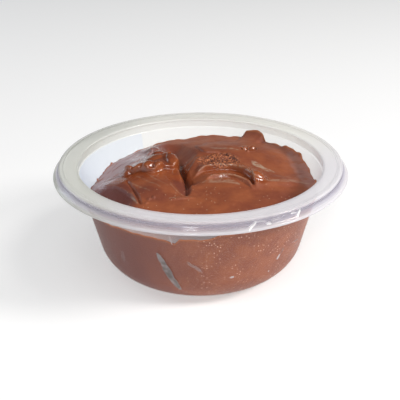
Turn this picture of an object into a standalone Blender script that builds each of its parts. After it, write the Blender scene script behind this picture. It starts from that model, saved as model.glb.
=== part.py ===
"""Chocolate mousse in its clear round tub.

Two pieces: a thin turned plastic tub with a wide rim, and the mousse that fills it to just under
the rim, spooned in, so that its top is two lobes with a cleft between them, folds and smears.
Run it with blender --background --python part.py, or from Blender's text editor.
"""

import math

import bmesh
import bpy
from mathutils import Matrix

# Lengths are in millimetres and heights are above the surface that the tub stands on.
# MM turns them into metres. The front of the tub is towards -Y.
MM = 0.001

# Tub: the middle of its thin sheet, and the radii of the bends in it.
SHEET = 0.5
TUB_HEIGHT = 45.4
LIP_RADIUS = 59.0
LIP_DROP = 4.0
LIP_FLARE = 0.9
SKIRT_TOP_RADIUS = 56.8
LAND_INNER_RADIUS = 48.3
LAND_FALL = 0.6
GROOVE_RADIUS = 49.5
GROOVE_DROP = 1.7
SHOULDER_DROP = 4.4
SHOULDER_STEP = 0.4
WALL_LEAN = math.radians(13.6)
FOOT_RADIUS = 39.3
FOOT_BEND = 15.0
RIM_BEND = 0.8
SMALL_BEND = 0.35
TUB_SEGMENTS = 56
FOOT_STEPS = 5

# Mousse: its gap to the plastic, and the grid that its top is made from.
GAP = 0.3
TOP_CELLS = 42
CENTRE_FINENESS = 0.26
CROWN_DEPTH = 6.2
EDGE_ROUNDING = 2.2

# How far below the rim's top the mousse meets the wall: (direction in degrees, depth).
# 0 is towards +X and 90 towards the back.
CONTACT = (
    (-160.0, 15.0),
    (-128.0, 12.6),
    (-90.0, 11.8),
    (-60.0, 9.8),
    (-5.0, 10.8),
    (45.0, 7.8),
    (80.0, 8.2),
    (105.0, 10.0),
    (140.0, 12.8),
    (168.0, 15.8),
)

# Smears that run up the wall, and dips that run down it: (direction, half width, height).
SMEARS = (
    (59.3, 8.0, 4.0),
    (32.0, 10.0, 1.4),
    (8.0, 8.0, -1.2),
    (-103.0, 6.0, -1.8),
    (-78.0, 9.0, 1.0),
)
SMEAR_REACH = 2.6
SMEAR_STEEPNESS = 1.6

# Broad swellings: (x, y, half length, half width, turn in degrees, height).
SWELLINGS = (
    (-20.0, 6.0, 19.0, 12.0, 70.0, 3.4),
    (-16.0, -16.0, 13.0, 10.0, 60.0, 1.6),
    (13.0, 20.0, 24.0, 15.0, 0.0, 2.6),
    (22.0, -4.0, 16.0, 12.0, 20.0, 1.2),
    (-18.0, 34.0, 9.0, 6.0, 0.0, 1.9),
)
SWELLING_FALL = 1.4

# Small knobs and pits, in the same terms. A pit has a height below zero.
KNOBS = (
    (-29.9, 3.2, 2.6, 2.6, 0.0, 1.2),
    (-21.2, 1.0, 2.6, 2.6, 20.0, 1.3),
    (-17.4, 0.4, 2.4, 2.4, 0.0, 1.1),
    (-11.8, 6.5, 3.0, 5.4, 8.0, 1.4),
    (-19.6, 12.5, 4.0, 5.0, 10.0, 0.8),
    (-19.8, 28.4, 3.4, 3.8, 20.0, 1.9),
    (24.9, -7.2, 2.8, 2.8, 30.0, 1.2),
    (-8.0, -13.5, 3.4, 6.5, -25.0, -1.8),
)

# Long rounded forms: the route in plan, the half width, and the heights at its start, middle
# and end. A height below zero makes a cleft.
RIDGES = (
    # The valley between the two lobes, and the cleft in its floor.
    (
        ((-14.5, 36.0), (-11.3, 25.1), (-9.0, 14.0), (-8.0, 6.5), (-6.7, -0.5), (-5.4, -6.5),
         (-4.0, -13.5)),
        3.8,
        (-1.4, -3.4, -2.0),
    ),
    (((-9.0, 15.0), (-7.9, 6.5), (-6.4, -0.5), (-4.9, -7.0), (-4.0, -12.0)), 1.6, (-0.6, -2.0, -1.2)),
    # The fold that falls from the right lobe into the valley.
    (((-0.2, 14.0), (-2.4, 8.6), (-4.4, 3.5), (-6.0, -1.0)), 2.0, (0.5, 1.3, 0.7)),
    # The crack of the left lobe, and the soft fold of the right one.
    (
        ((-30.2, -4.0), (-27.4, -10.2), (-25.6, -15.2), (-24.0, -20.0), (-22.4, -25.5)),
        1.1,
        (-0.5, -1.0, -0.8),
    ),
    (((24.0, -11.0), (30.0, -9.0), (36.0, -6.5), (43.0, -5.0)), 3.2, (0.3, 0.7, 0.3)),
)

# Banks: the surface stands higher on the left of the route.
# (route, height, how wide its face is, how far back the height fades)
BANKS = (
    # The left lobe's upper layer.
    (
        ((-37.0, 9.0), (-32.1, 5.0), (-28.5, 1.6), (-24.4, 0.6), (-21.0, -2.0), (-17.6, -2.2), (-15.0, 0.6),
         (-11.4, 0.8), (-9.2, 4.6), (-9.0, 10.1), (-10.4, 19.0)),
        1.5,
        1.6,
        14.0,
    ),
    # The skin's edge round the foam.
    (
        ((-3.0, 30.0), (-0.6, 22.0), (1.6, 17.2), (5.2, 15.9), (9.0, 15.0), (12.7, 11.9), (16.5, 6.3),
         (18.5, 3.0)),
        0.7,
        1.6,
        7.0,
    ),
    # The two lips below the foam.
    (
        ((-4.0, -3.6), (-0.4, -0.6), (2.5, 0.4), (5.4, 1.0), (9.1, 1.4), (13.1, 0.6), (16.3, -1.2),
         (18.9, -4.6), (20.4, -8.7), (21.3, -12.3), (21.2, -16.0)),
        2.0,
        1.8,
        9.0,
    ),
    (
        ((1.6, -8.5), (3.8, -6.7), (6.0, -6.2), (8.8, -6.2), (12.1, -6.9), (15.1, -8.6), (17.8, -11.0),
         (19.4, -13.8), (19.6, -16.5)),
        1.1,
        1.6,
        5.0,
    ),
)
BANK_ENDS = 0.18

# Where the surface falls away evenly on the right of a route: (route, depth, how far it falls).
DROPS = (
    # The scoop beside the near left wall.
    (
        ((-46.0, 3.0), (-40.6, -0.3), (-36.4, -3.9), (-32.6, -8.2), (-29.2, -13.2), (-26.0, -18.6),
         (-23.4, -24.2)),
        3.6,
        9.0,
    ),
    # The right lobe's flank above the valley.
    (((-9.5, 41.0), (-6.5, 31.0), (-2.6, 23.0), (2.0, 16.6)), 2.6, 8.0),
)
DROP_ENDS = 0.2

# The relief fades out over this share of the way in from the wall.
RELIEF_EDGE = 0.2


def smooth(value):
    """0 below 0, 1 above 1, and an even S between."""
    value = min(max(value, 0.0), 1.0)
    return value * value * (3.0 - 2.0 * value)


def fillet(points, bends):
    """The open line through the points, with each inner corner rounded to its radius."""
    line = [points[0]]
    for before, corner, after, bend in zip(points, points[1:], points[2:], bends):
        into = (corner[0] - before[0], corner[1] - before[1])
        out = (after[0] - corner[0], after[1] - corner[1])
        into_length = math.hypot(*into)
        out_length = math.hypot(*out)
        into = (into[0] / into_length, into[1] / into_length)
        out = (out[0] / out_length, out[1] / out_length)
        turn = math.atan2(into[0] * out[1] - into[1] * out[0], into[0] * out[0] + into[1] * out[1])
        cut = bend * math.tan(abs(turn) / 2.0)
        steps = FOOT_STEPS if bend == FOOT_BEND else 1
        side = math.copysign(1.0, turn)
        start = (corner[0] - into[0] * cut, corner[1] - into[1] * cut)
        centre = (start[0] - side * into[1] * bend, start[1] + side * into[0] * bend)
        for step in range(steps + 1):
            angle = turn * step / steps
            arm = (start[0] - centre[0], start[1] - centre[1])
            cosine, sine = math.cos(angle), math.sin(angle)
            x = centre[0] + arm[0] * cosine - arm[1] * sine
            y = centre[1] + arm[0] * sine + arm[1] * cosine
            line.append((x, y))
    line.append(points[-1])
    return line


def offset(line, distance):
    """The line moved sideways, to the left of its direction."""
    moved = []
    for index, point in enumerate(line):
        before = line[max(index - 1, 0)]
        after = line[min(index + 1, len(line) - 1)]
        along = (after[0] - before[0], after[1] - before[1])
        length = math.hypot(*along)
        moved.append((point[0] - along[1] / length * distance, point[1] + along[0] / length * distance))
    return moved


def tub_sheet():
    """The middle of the tub's sheet as (radius, height), from the lip's edge to the axis."""
    half = SHEET / 2.0
    top = TUB_HEIGHT - half
    shoulder = TUB_HEIGHT - SHOULDER_DROP
    wall_top = FOOT_RADIUS + math.tan(WALL_LEAN) * (shoulder - half - SHOULDER_STEP)
    corners = [
        (LIP_RADIUS - half, TUB_HEIGHT - LIP_DROP),
        (LIP_RADIUS - LIP_FLARE, TUB_HEIGHT - LIP_DROP + LIP_FLARE / 2.0),
        (SKIRT_TOP_RADIUS - half, top),
        (LAND_INNER_RADIUS + half, top - LAND_FALL),
        (GROOVE_RADIUS, TUB_HEIGHT - GROOVE_DROP),
        (GROOVE_RADIUS, shoulder),
        (wall_top, shoulder - SHOULDER_STEP),
        (FOOT_RADIUS, half),
        (0.0, half),
    ]
    bends = (SMALL_BEND, RIM_BEND, SMALL_BEND, SMALL_BEND, SMALL_BEND / 2.0, SMALL_BEND / 2.0, FOOT_BEND)
    return fillet(corners, bends)


def tub_outline():
    """The tub's closed section: out along its inner skin and back down its outer one."""
    sheet = tub_sheet()
    sheet.reverse()
    inner = offset(sheet, SHEET / 2.0)
    outer = offset(sheet, -SHEET / 2.0)
    outer.reverse()
    inner[0] = (0.0, inner[0][1])
    outer[-1] = (0.0, outer[-1][1])
    return inner + outer


def side_line():
    """The mousse's side below the straight wall, as (radius, height), a gap in from the tub."""
    sheet = tub_sheet()
    sheet.reverse()
    line = offset(sheet, SHEET / 2.0 + GAP)
    bend = [point for point in line[1:] if point[1] < FOOT_BEND]
    bend.reverse()
    return bend


def material(name, colour, roughness, alpha=1.0):
    made = bpy.data.materials.new(name)
    made.use_nodes = True
    shader = made.node_tree.nodes["Principled BSDF"]
    shader.inputs["Base Color"].default_value = (*colour, 1.0)
    shader.inputs["Roughness"].default_value = roughness
    shader.inputs["Metallic"].default_value = 0.0
    shader.inputs["Alpha"].default_value = alpha
    return made


def clear_scene():
    for old in list(bpy.data.objects):
        bpy.data.objects.remove(old, do_unlink=True)


def new_object(name, mesh, collection, finish):
    made = bpy.data.objects.new(name, mesh)
    collection.objects.link(made)
    mesh.materials.append(finish)
    return made


def build_tub(collection):
    outline = tub_outline()
    mesh = bpy.data.meshes.new("tub")
    points = [(radius * MM, 0.0, height * MM) for radius, height in outline]
    edges = [(index, index + 1) for index in range(len(points) - 1)]
    mesh.from_pydata(points, edges, [])
    tub = new_object("tub", mesh, collection, material("clear_plastic", (0.80, 0.80, 0.81), 0.22, 0.35))
    turned = tub.modifiers.new("turned", "SCREW")
    turned.axis = "Z"
    turned.angle = 2.0 * math.pi
    turned.steps = TUB_SEGMENTS
    turned.render_steps = TUB_SEGMENTS
    turned.use_merge_vertices = True
    turned.merge_threshold = 0.00001
    turned.use_smooth_shade = True
    return tub


def contact_depth(direction):
    """How far below the rim's top the mousse meets the wall, in this direction in degrees."""
    count = len(CONTACT)
    for index in range(count):
        start, low = CONTACT[index - 1]
        end, high = CONTACT[index]
        if index == 0:
            start -= 360.0
        turned = direction
        if turned > CONTACT[-1][0]:
            turned -= 360.0
        if start <= turned <= end:
            return low + (high - low) * smooth((turned - start) / (end - start))
    return CONTACT[0][1]


def smear_height(direction):
    """How much higher the mousse is smeared up the wall, in this direction in degrees."""
    total = 0.0
    for centre, half_width, height in SMEARS:
        away = abs((direction - centre + 180.0) % 360.0 - 180.0)
        total += height * smooth(SMEAR_STEEPNESS * (1.0 - away / half_width))
    return total


def swelling(x, y, centre_x, centre_y, half_length, half_width, turn, height):
    """A rounded rise, or a pit, on an oval that is turned in plan."""
    cosine = math.cos(math.radians(turn))
    sine = math.sin(math.radians(turn))
    along = ((x - centre_x) * cosine + (y - centre_y) * sine) / half_length
    across = (-(x - centre_x) * sine + (y - centre_y) * cosine) / half_width
    return height * math.exp(-SWELLING_FALL * (along * along + across * across))


def nearest_on(route, x, y):
    """How far to the left of the route a point is, and which share of its length it is beside."""
    lengths = [math.dist(start, end) for start, end in zip(route, route[1:])]
    nearest = math.inf
    left = 0.0
    share = 0.0
    passed = 0.0
    for start, end, length in zip(route, route[1:], lengths):
        way_x = (end[0] - start[0]) / length
        way_y = (end[1] - start[1]) / length
        along = (x - start[0]) * way_x + (y - start[1]) * way_y
        along = min(max(along, 0.0), length)
        off_x = x - start[0] - along * way_x
        off_y = y - start[1] - along * way_y
        away = math.hypot(off_x, off_y)
        if away < nearest:
            nearest = away
            left = math.copysign(away, way_x * off_y - way_y * off_x)
            share = (passed + along) / sum(lengths)
        passed += length
    return left, share


def ends(share, length):
    """Fades a form in and out at both ends of its route."""
    return smooth(share / length) * smooth((1.0 - share) / length)


def ridge_height(x, y, route, half_width, heights):
    left, share = nearest_on(route, x, y)
    first, middle, last = heights
    if share < 0.5:
        height = first + (middle - first) * smooth(share * 2.0)
    else:
        height = middle + (last - middle) * smooth(share * 2.0 - 1.0)
    return height * math.exp(-((left / half_width) ** 2))


def bank_height(x, y, route, height, face, fade):
    left, share = nearest_on(route, x, y)
    return height * smooth(left / face + 0.5) * smooth(1.0 - left / fade) * ends(share, BANK_ENDS)


def drop_height(x, y, route, depth, width):
    left, share = nearest_on(route, x, y)
    past = -left / width
    return -depth * min(max(past, 0.0), 1.0) * smooth(2.0 - past) * ends(share, DROP_ENDS)


def mousse_height(x, y, wall):
    """The height of the mousse's top at a point, where the wall is that far from the axis."""
    radius = math.hypot(x, y)
    direction = math.degrees(math.atan2(y, x))
    out = min(radius / wall, 1.0)
    edge = TUB_HEIGHT - contact_depth(direction)
    crown = TUB_HEIGHT - CROWN_DEPTH
    height = edge + (crown - edge) * (1.0 - out**EDGE_ROUNDING)
    relief = 0.0
    for form in SWELLINGS + KNOBS:
        relief += swelling(x, y, *form)
    for form in RIDGES:
        relief += ridge_height(x, y, *form)
    for form in BANKS:
        relief += bank_height(x, y, *form)
    for form in DROPS:
        relief += drop_height(x, y, *form)
    height += relief * smooth((1.0 - out) / RELIEF_EDGE)
    return height + smear_height(direction) * math.exp(-(wall - radius) / SMEAR_REACH)


def edge_radius(direction, bend_top):
    """How far out the mousse's top edge is, on the straight wall that rises from the bend."""
    height = TUB_HEIGHT - contact_depth(direction) + smear_height(direction)
    return bend_top[0] + math.tan(WALL_LEAN) * (height - bend_top[1])


def square_to_disc(across, back):
    """Turns a point of the square from -1 to 1 into one of the unit disc, finer in the middle."""
    x = across * math.sqrt(1.0 - back * back / 2.0)
    y = back * math.sqrt(1.0 - across * across / 2.0)
    spread = 1.0 - CENTRE_FINENESS * (1.0 - x * x - y * y)
    return x * spread, y * spread


def extrude_edge(mesh, edge):
    made = bmesh.ops.extrude_edge_only(mesh, edges=edge)["geom"]
    return [item for item in made if isinstance(item, bmesh.types.BMEdge)]


def edge_points(edges):
    return {point for edge in edges for point in edge.verts}


def build_mousse(collection):
    """A grid laid over the disc, raised to the mousse's top, then drawn down inside the wall."""
    side = side_line()
    mesh = bmesh.new()
    bmesh.ops.create_grid(mesh, x_segments=TOP_CELLS, y_segments=TOP_CELLS, size=1.0)
    for point in mesh.verts:
        x, y = square_to_disc(point.co.x, point.co.y)
        wall = edge_radius(math.degrees(math.atan2(y, x)), side[0])
        point.co = (x * wall, y * wall, mousse_height(x * wall, y * wall, wall))
    edge = [item for item in mesh.edges if item.is_boundary]

    for radius, height in side:
        edge = extrude_edge(mesh, edge)
        for point in edge_points(edge):
            direction = math.atan2(point.co.y, point.co.x)
            point.co = (radius * math.cos(direction), radius * math.sin(direction), height)
    bmesh.ops.contextual_create(mesh, geom=edge)
    bmesh.ops.recalc_face_normals(mesh, faces=mesh.faces[:])
    bmesh.ops.transform(mesh, matrix=Matrix.Scale(MM, 4), verts=mesh.verts[:])
    for face in mesh.faces:
        face.smooth = True

    data = bpy.data.meshes.new("mousse")
    mesh.to_mesh(data)
    mesh.free()
    data.set_sharp_from_angle(angle=math.radians(50.0))
    return new_object("mousse", data, collection, material("chocolate_mousse", (0.16, 0.047, 0.022), 0.42))


def main():
    clear_scene()
    collection = bpy.data.collections.new("chocolate_mousse")
    bpy.context.scene.collection.children.link(collection)
    build_tub(collection)
    build_mousse(collection)


main()
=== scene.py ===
"""Looks of the chocolate mousse in its clear tub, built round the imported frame.

The mousse's top is a fine grid over the disc, raised and pushed sideways by named forms: lobes,
a cleft, rolled lips, knobs, pits and bubbles. The tub is a fine turned sheet of milky plastic.
Lengths are in millimetres and heights are above the surface that the tub stands on, unless said
otherwise. MM turns them into metres. Directions are in degrees: 0 is towards +X, 90 to the back.
"""

import math

import bpy
import numpy as np
from mathutils import Matrix, Vector


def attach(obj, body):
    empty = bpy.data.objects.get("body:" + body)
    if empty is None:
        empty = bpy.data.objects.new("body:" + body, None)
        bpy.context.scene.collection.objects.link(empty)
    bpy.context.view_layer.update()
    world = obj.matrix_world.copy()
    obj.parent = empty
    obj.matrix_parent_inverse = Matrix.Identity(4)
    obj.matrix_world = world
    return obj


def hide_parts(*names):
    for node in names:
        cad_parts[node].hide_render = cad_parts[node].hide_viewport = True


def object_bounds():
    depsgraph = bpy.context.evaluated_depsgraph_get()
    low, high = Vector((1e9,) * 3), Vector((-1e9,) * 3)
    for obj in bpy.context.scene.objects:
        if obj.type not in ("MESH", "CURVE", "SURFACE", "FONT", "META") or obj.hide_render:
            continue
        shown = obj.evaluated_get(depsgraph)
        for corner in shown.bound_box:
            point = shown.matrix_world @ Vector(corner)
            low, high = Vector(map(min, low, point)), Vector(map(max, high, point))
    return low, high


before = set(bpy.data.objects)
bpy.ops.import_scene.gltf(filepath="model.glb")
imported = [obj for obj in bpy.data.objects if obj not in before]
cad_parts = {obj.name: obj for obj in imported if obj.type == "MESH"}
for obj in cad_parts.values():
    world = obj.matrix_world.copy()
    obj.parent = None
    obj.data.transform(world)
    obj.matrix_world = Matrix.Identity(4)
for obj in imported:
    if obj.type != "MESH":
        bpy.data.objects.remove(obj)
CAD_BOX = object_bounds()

MM = 0.001
HIGH = [value / MM for value in CAD_BOX[1]]

# ------ tub sizes
TUB_HEIGHT = HIGH[2]
LIP_RADIUS = HIGH[0]
SHEET = 0.5
HALF = SHEET / 2.0
LIP_DROP = 4.0
FLARE_DROP = 2.9
FLARE_RADIUS = 57.75
BEAD_RADIUS = 56.7
BEAD_INNER_RADIUS = 54.5
LAND_INNER_RADIUS = 48.3
GROOVE_RADIUS = 49.5
GROOVE_DROP = 1.7
SHOULDER_DROP = 4.4
SHOULDER_STEP = 0.4
WALL_LEAN = math.radians(13.6)
FOOT_RADIUS = 39.3
FOOT_BEND = 15.0
TUB_SEGMENTS = 340
INNER_SPACING = 0.7
OUTER_SPACING = 3.0

# ------ mousse sizes
INTO_WALL = 0.12
TOP_CELLS = 268
CENTRE_FINENESS = 0.24
SIDE_SHARES = (0.01, 0.03, 0.06, 0.1, 0.16, 0.24, 0.34, 0.46, 0.6, 0.76, 1.0)
CROWN_DEPTH = 6.2
EDGE_ROUNDING = 2.2
EDGE_STEEPNESS = 5.0
SWELL_FALL = 1.4
BEND_TOP = FOOT_BEND - 2.0
BEND_INNER_RADIUS = 1.0
HOLLOW_REACH = (14, 120)
HOLLOW_SHARE = 0.55

# How far below the rim's top the mousse meets the wall: (direction, depth).
CONTACT = (
    (-160.0, 15.0),
    (-128.0, 12.6),
    (-90.0, 11.8),
    (-60.0, 9.8),
    (-5.0, 10.8),
    (45.0, 7.8),
    (80.0, 8.2),
    (105.0, 10.0),
    (140.0, 12.8),
    (168.0, 15.8),
)

# The ragged line where it meets the wall: (waves in a turn, height, shift).
EDGE_WAVES = ((17.0, 0.16, 1.0), (31.0, 0.13, 2.2), (57.0, 0.09, 0.4))
EDGE_WAVE_REACH = 0.8
NOTCH_REACH = 1.4

# Smears that run up the wall, and dips that run down it:
# (direction, half width, height, how far in from the wall it reaches, how steep its sides are).
SMEARS = (
    (59.3, 7.8, 3.2, 4.2, 2.4),
    (59.0, 5.6, 0.9, 4.2, 1.2),
    (32.0, 10.0, 1.4, 1.6, 2.4),
    (26.5, 3.4, 0.45, 1.2, 1.4),
    (8.0, 7.0, -1.2, 2.0, 1.7),
    (-78.0, 9.0, 1.0, 1.6, 1.7),
    (147.0, 1.1, 0.6, 0.8, 1.7),
    (155.5, 0.8, 0.3, 0.8, 1.7),
    (163.0, 0.9, 0.8, 0.8, 1.7),
    (-174.0, 1.6, 0.4, 0.8, 1.7),
)

# The sharp notch at the near wall: its tip's direction, how far it runs to the left and to the
# right of it, and its depth.
NOTCH = (-101.4, 10.0, 2.2, 2.2)

# Broad swellings: (x, y, half length, half width, turn, height).
SWELLINGS = (
    (-20.0, 6.0, 19.0, 12.0, 70.0, 3.4),
    (-16.0, -16.0, 13.0, 10.0, 60.0, 1.6),
    (13.0, 20.0, 24.0, 15.0, 0.0, 2.6),
    (22.0, -4.0, 16.0, 12.0, 20.0, 1.2),
    (-18.0, 34.0, 9.0, 6.0, 0.0, 1.9),
)

# Small round lumps, and hollows where the height is below zero: the same columns.
LUMPS = (
    # The knobs along the left lobe's upper layer.
    (-29.9, 2.9, 2.2, 2.1, 0.0, 2.2),
    (-25.6, 2.6, 2.6, 1.6, 10.0, 1.1),
    (-21.2, 1.0, 2.3, 2.4, 20.0, 1.8),
    (-17.2, 0.2, 2.3, 2.3, 0.0, 1.7),
    (-11.8, 6.5, 2.6, 5.0, 8.0, 1.9),
    (-19.6, 12.5, 3.8, 5.0, 10.0, 0.8),
    (-17.7, 18.4, 3.6, 3.4, 20.0, 1.6),
    (-13.9, 11.6, 2.4, 2.6, 0.0, 1.1),
    (-19.8, 28.4, 2.9, 3.4, 20.0, 2.1),
    (-22.4, 26.6, 1.6, 2.4, 0.0, 0.8),
    # The knob at the right lip's end, with the gap beside it.
    (22.8, -7.8, 2.6, 2.7, 30.0, 1.8),
    (20.4, -10.2, 0.9, 3.0, 10.0, -1.2),
    # Bubbles, each in a shallow ring.
    (19.0, 20.7, 1.9, 2.1, 0.0, -0.7),
    (19.0, 20.7, 1.15, 1.25, 0.0, 1.6),
    (22.6, 23.0, 1.9, 2.1, 0.0, -0.7),
    (22.6, 23.0, 1.1, 1.2, 0.0, 1.5),
    (20.3, 17.6, 0.7, 0.8, 0.0, 0.7),
    # Pits in the wet slope.
    (-26.3, 16.8, 2.0, 0.5, 40.0, -0.5),
    (-28.6, 15.3, 1.6, 0.5, 40.0, -0.4),
    (-35.6, 9.0, 1.7, 0.5, 40.0, -0.5),
    (-36.6, 5.2, 2.0, 0.5, 40.0, -0.5),
    (-38.4, 5.6, 1.5, 0.5, 40.0, -0.4),
    (-34.6, 2.4, 1.3, 0.6, 40.0, -0.5),
    # Crumbs at the near left.
    (-19.4, -22.6, 0.9, 0.6, 30.0, 0.5),
    (-17.8, -21.8, 0.7, 0.9, 0.0, 0.5),
    (-20.4, -24.6, 0.8, 0.6, 0.0, 0.4),
)

# Routes over the top, as (x, y) points. The valley between the two lobes, the cleft in its floor,
# and the crack of the left lobe:
VALLEY = ((-14.5, 36.0), (-11.3, 25.1), (-9.0, 14.0), (-8.0, 6.5), (-6.7, -0.5), (-5.4, -6.5), (-4.0, -13.5))
CLEFT = ((-9.0, 15.0), (-7.9, 6.5), (-6.4, -0.5), (-4.9, -7.0), (-4.0, -13.0))
CRACK = ((-30.2, -4.0), (-27.4, -10.2), (-25.6, -15.2), (-24.0, -20.0), (-22.4, -25.5))
# The edge of the scoop beside the near left wall, and the edge of the left lobe's upper layer:
SCOOP_EDGE = (
    (-46.0, 3.0), (-40.6, -0.3), (-36.4, -3.9), (-32.6, -8.2), (-29.2, -13.2), (-26.0, -18.6), (-23.4, -24.2),
)
LAYER_EDGE = (
    (-37.0, 9.0), (-32.1, 5.0), (-28.5, 1.6), (-24.4, 0.6), (-21.0, -2.0), (-17.6, -2.2), (-15.0, 0.6),
    (-11.4, 0.8), (-9.2, 4.6), (-9.0, 10.1), (-10.4, 19.0),
)
# The edge of the skin round the foam, and the two lips below the foam, each with its skin's edge:
FOAM_EDGE = (
    (-3.0, 30.0), (-0.6, 22.0), (1.6, 17.2), (5.2, 15.9), (9.0, 15.0), (12.7, 11.9), (16.5, 6.3), (18.5, 3.0),
)
UPPER_LIP = (
    (-4.0, -3.6), (-0.4, -0.6), (2.5, 0.4), (5.4, 1.0), (9.1, 1.4), (13.1, 0.6), (16.3, -1.2), (18.9, -4.6),
    (20.4, -8.7), (21.3, -12.3), (21.2, -16.0),
)
UPPER_SKIN = (
    (-1.0, -0.4), (2.5, 1.2), (5.4, 1.8), (9.1, 2.2), (13.1, 1.4), (16.8, -0.6), (19.5, -4.0), (21.0, -8.4),
    (21.9, -12.0),
)
LOWER_LIP = (
    (1.6, -8.5), (3.8, -6.7), (6.0, -6.2), (8.8, -6.2), (12.1, -6.9), (15.1, -8.6), (17.8, -11.0),
    (19.4, -13.8), (19.6, -16.5),
)
LOWER_SKIN = ((3.6, -6.2), (6.0, -5.4), (8.8, -5.4), (12.1, -6.1), (15.3, -7.9), (18.2, -10.4), (20.1, -13.2))
# The left edge of the dent in front of the left lobe, from its near point up to the cleft:
DENT_EDGE = ((-5.6, -22.0), (-7.8, -19.6), (-9.8, -16.6), (-11.7, -12.8), (-13.2, -8.4), (-14.2, -4.4))

# Ridges, or grooves where the heights are below zero:
# (route, heights at its start, middle and end, width on its left, width on its right).
RIDGES = (
    (VALLEY, (-1.6, -3.7, -3.2), 8.5, 2.4),
    (CLEFT, (-0.8, -2.4, -3.0), 2.4, 1.3),
    (CRACK, (-0.8, -1.3, -1.1), 0.9, 0.7),
    # The dent's sharp left edge.
    (((-5.8, -21.8), (-8.0, -19.6), (-10.0, -16.6), (-11.9, -12.8)), (0.2, 0.35, 0.1), 0.8, 0.5),
    # The fold that falls from the right lobe into the valley.
    (((-0.2, 14.0), (-2.4, 8.6), (-4.4, 3.5), (-6.0, -1.0)), (0.6, 1.5, 0.8), 3.4, 1.8),
    # Soft folds of the front and of the right.
    (((24.0, -11.0), (30.0, -9.0), (36.0, -6.5), (43.0, -5.0)), (0.4, 0.8, 0.3), 8.0, 3.6),
    (((-12.0, -23.6), (-6.0, -22.8), (-1.5, -22.2)), (0.2, 0.5, 0.2), 1.4, 0.7),
    (((-26.0, -5.5), (-21.0, -11.0), (-16.0, -15.0)), (0.1, 0.25, 0.1), 1.0, 1.0),
    (((-25.0, -2.5), (-20.0, -8.0), (-16.0, -11.5)), (0.1, 0.25, 0.1), 0.8, 0.9),
    (UPPER_SKIN, (0.2, 0.5, 0.4), 0.7, 0.5),
    (LOWER_SKIN, (0.2, 0.4, 0.3), 0.6, 0.5),
)

# Banks: the surface stands higher on the left of the route.
# (route, height, how wide its face is, how far back the height fades, how far its lip leans out)
BANKS = (
    (SCOOP_EDGE, 0.9, 0.9, 12.0, 0.3),
    (LAYER_EDGE, 1.5, 0.9, 14.0, 0.6),
    (FOAM_EDGE, 0.7, 1.0, 7.0, 0.2),
    (UPPER_LIP, 2.0, 1.5, 9.0, 0.4),
    (LOWER_LIP, 1.1, 1.1, 5.0, 0.3),
)

# Where the surface falls away evenly on the right of a route, and then comes back:
# (route, depth, how far it falls, how far it takes to come back, whether it starts from a point).
DROPS = (
    (SCOOP_EDGE, 3.0, 9.0, 9.0, False),
    # The right lobe's flank above the valley.
    (((-9.5, 41.0), (-6.5, 31.0), (-2.6, 23.0), (2.0, 16.6)), 2.6, 8.0, 8.0, False),
    (DENT_EDGE, 2.4, 9.4, 2.6, True),
)
SPLINE_STEP = 0.6
BANK_ENDS = 0.18
RIDGE_ENDS = 0.14
DROP_ENDS = 0.2
LIP_RISE = 0.35
LIP_MIDDLE = 0.6
LIP_REACH = 1.1
POINTED_WIDTH = 0.6

# Soft noise over the top: (height, how many millimetres its patches are across, seed).
WAVES = ((0.16, 6.0, 1), (0.07, 2.6, 2))
STREAKS = ((0.12, 3.2, 3), (0.02, 1.4, 4))
CRUMB = ((0.42, 1.2, 5), (0.26, 0.6, 6))
BRUSHED_LINES = ((0.13, 1.3, 7),)
STREAK_DIRECTION = 46.0
STREAK_STRETCH = 3.0
BRUSHED_STRETCH = 7.0

# Where the top is wet and carries a painted sheen (the slope, and weaker along the right edge), glossy,
# brushed and foamy: the columns of an oval without its height.
WET_SLOPE = (-37.0, 16.0, 26.0, 11.0, 52.0)
# A painted sheen along the right edge, and its share of the wet mask.
SHEEN_EDGE = (43.0, 10.0, 20.0, 5.0, 98.0)
SHEEN_EDGE_SHARE = 0.24
GLOSSY = (
    (-21.0, 6.0, 18.0, 13.0, 25.0),
    (-18.0, 27.0, 7.0, 6.0, 0.0),
    (-9.0, 2.0, 12.0, 4.0, 75.0),
    (12.0, -1.0, 12.0, 7.0, -20.0),
    (22.8, -7.8, 5.0, 4.4, 0.0),
    (21.0, 22.0, 4.0, 4.0, 0.0),
)
BRUSHED = (-17.0, -13.0, 17.0, 9.0, -42.0)
FOAM_PATCH = (7.6, 8.0, 8.6, 6.8, -8.0)

# Where painted shade darkens the skin, in hollows, the scoop and faces turned from the light: (x, y, half
# length, half width, turn, strength).
PAINTED_SHADE_OVALS = (
    (-36.6, -13.2, 16.0, 8.6, -50.0, 1.0),
    (40.0, -20.0, 9.0, 4.0, 55.0, 0.55),
    (-7.4, -13.0, 7.5, 2.8, -68.0, 0.6),
    (-19.0, -19.0, 8.0, 4.0, -40.0, 0.5),
    (30.0, -24.0, 17.0, 8.0, 35.0, 0.4),
    (-20.0, 8.0, 16.0, 9.0, 30.0, 0.22),
    (-17.7, 18.8, 5.0, 4.4, 0.0, 0.55),
    (-16.0, 31.0, 10.0, 7.0, 0.0, 0.6),
    (-4.0, 26.0, 5.0, 11.0, 20.0, 0.2),
    (24.0, 40.0, 8.0, 3.0, -31.0, 0.4),
    (-5.0, -8.5, 3.0, 5.0, 10.0, 0.7),
)

# How strong a mask is in its oval's middle, and how much of that is lost by its edge. The result
# is cut off at 0 and at 1.
WET_FADE = (2.0, 1.2)
SHEEN_EDGE_FADE = (1.8, 1.4)
GLOSS_FADE = (1.6, 1.1)
PAINTED_SHADE_FADE = (1.4, 1.0)
FOAM_FADE = (2.6, 2.0)
BRUSHED_FADE = (1.8, 1.2)

# Where a mask starts, and over what distance it grows to 1. On the mousse: towards the front,
# towards the left, and towards the right or, with that share of its strength, the back.
SPECKLED_TOP = (4.0, 12.0)
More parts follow.
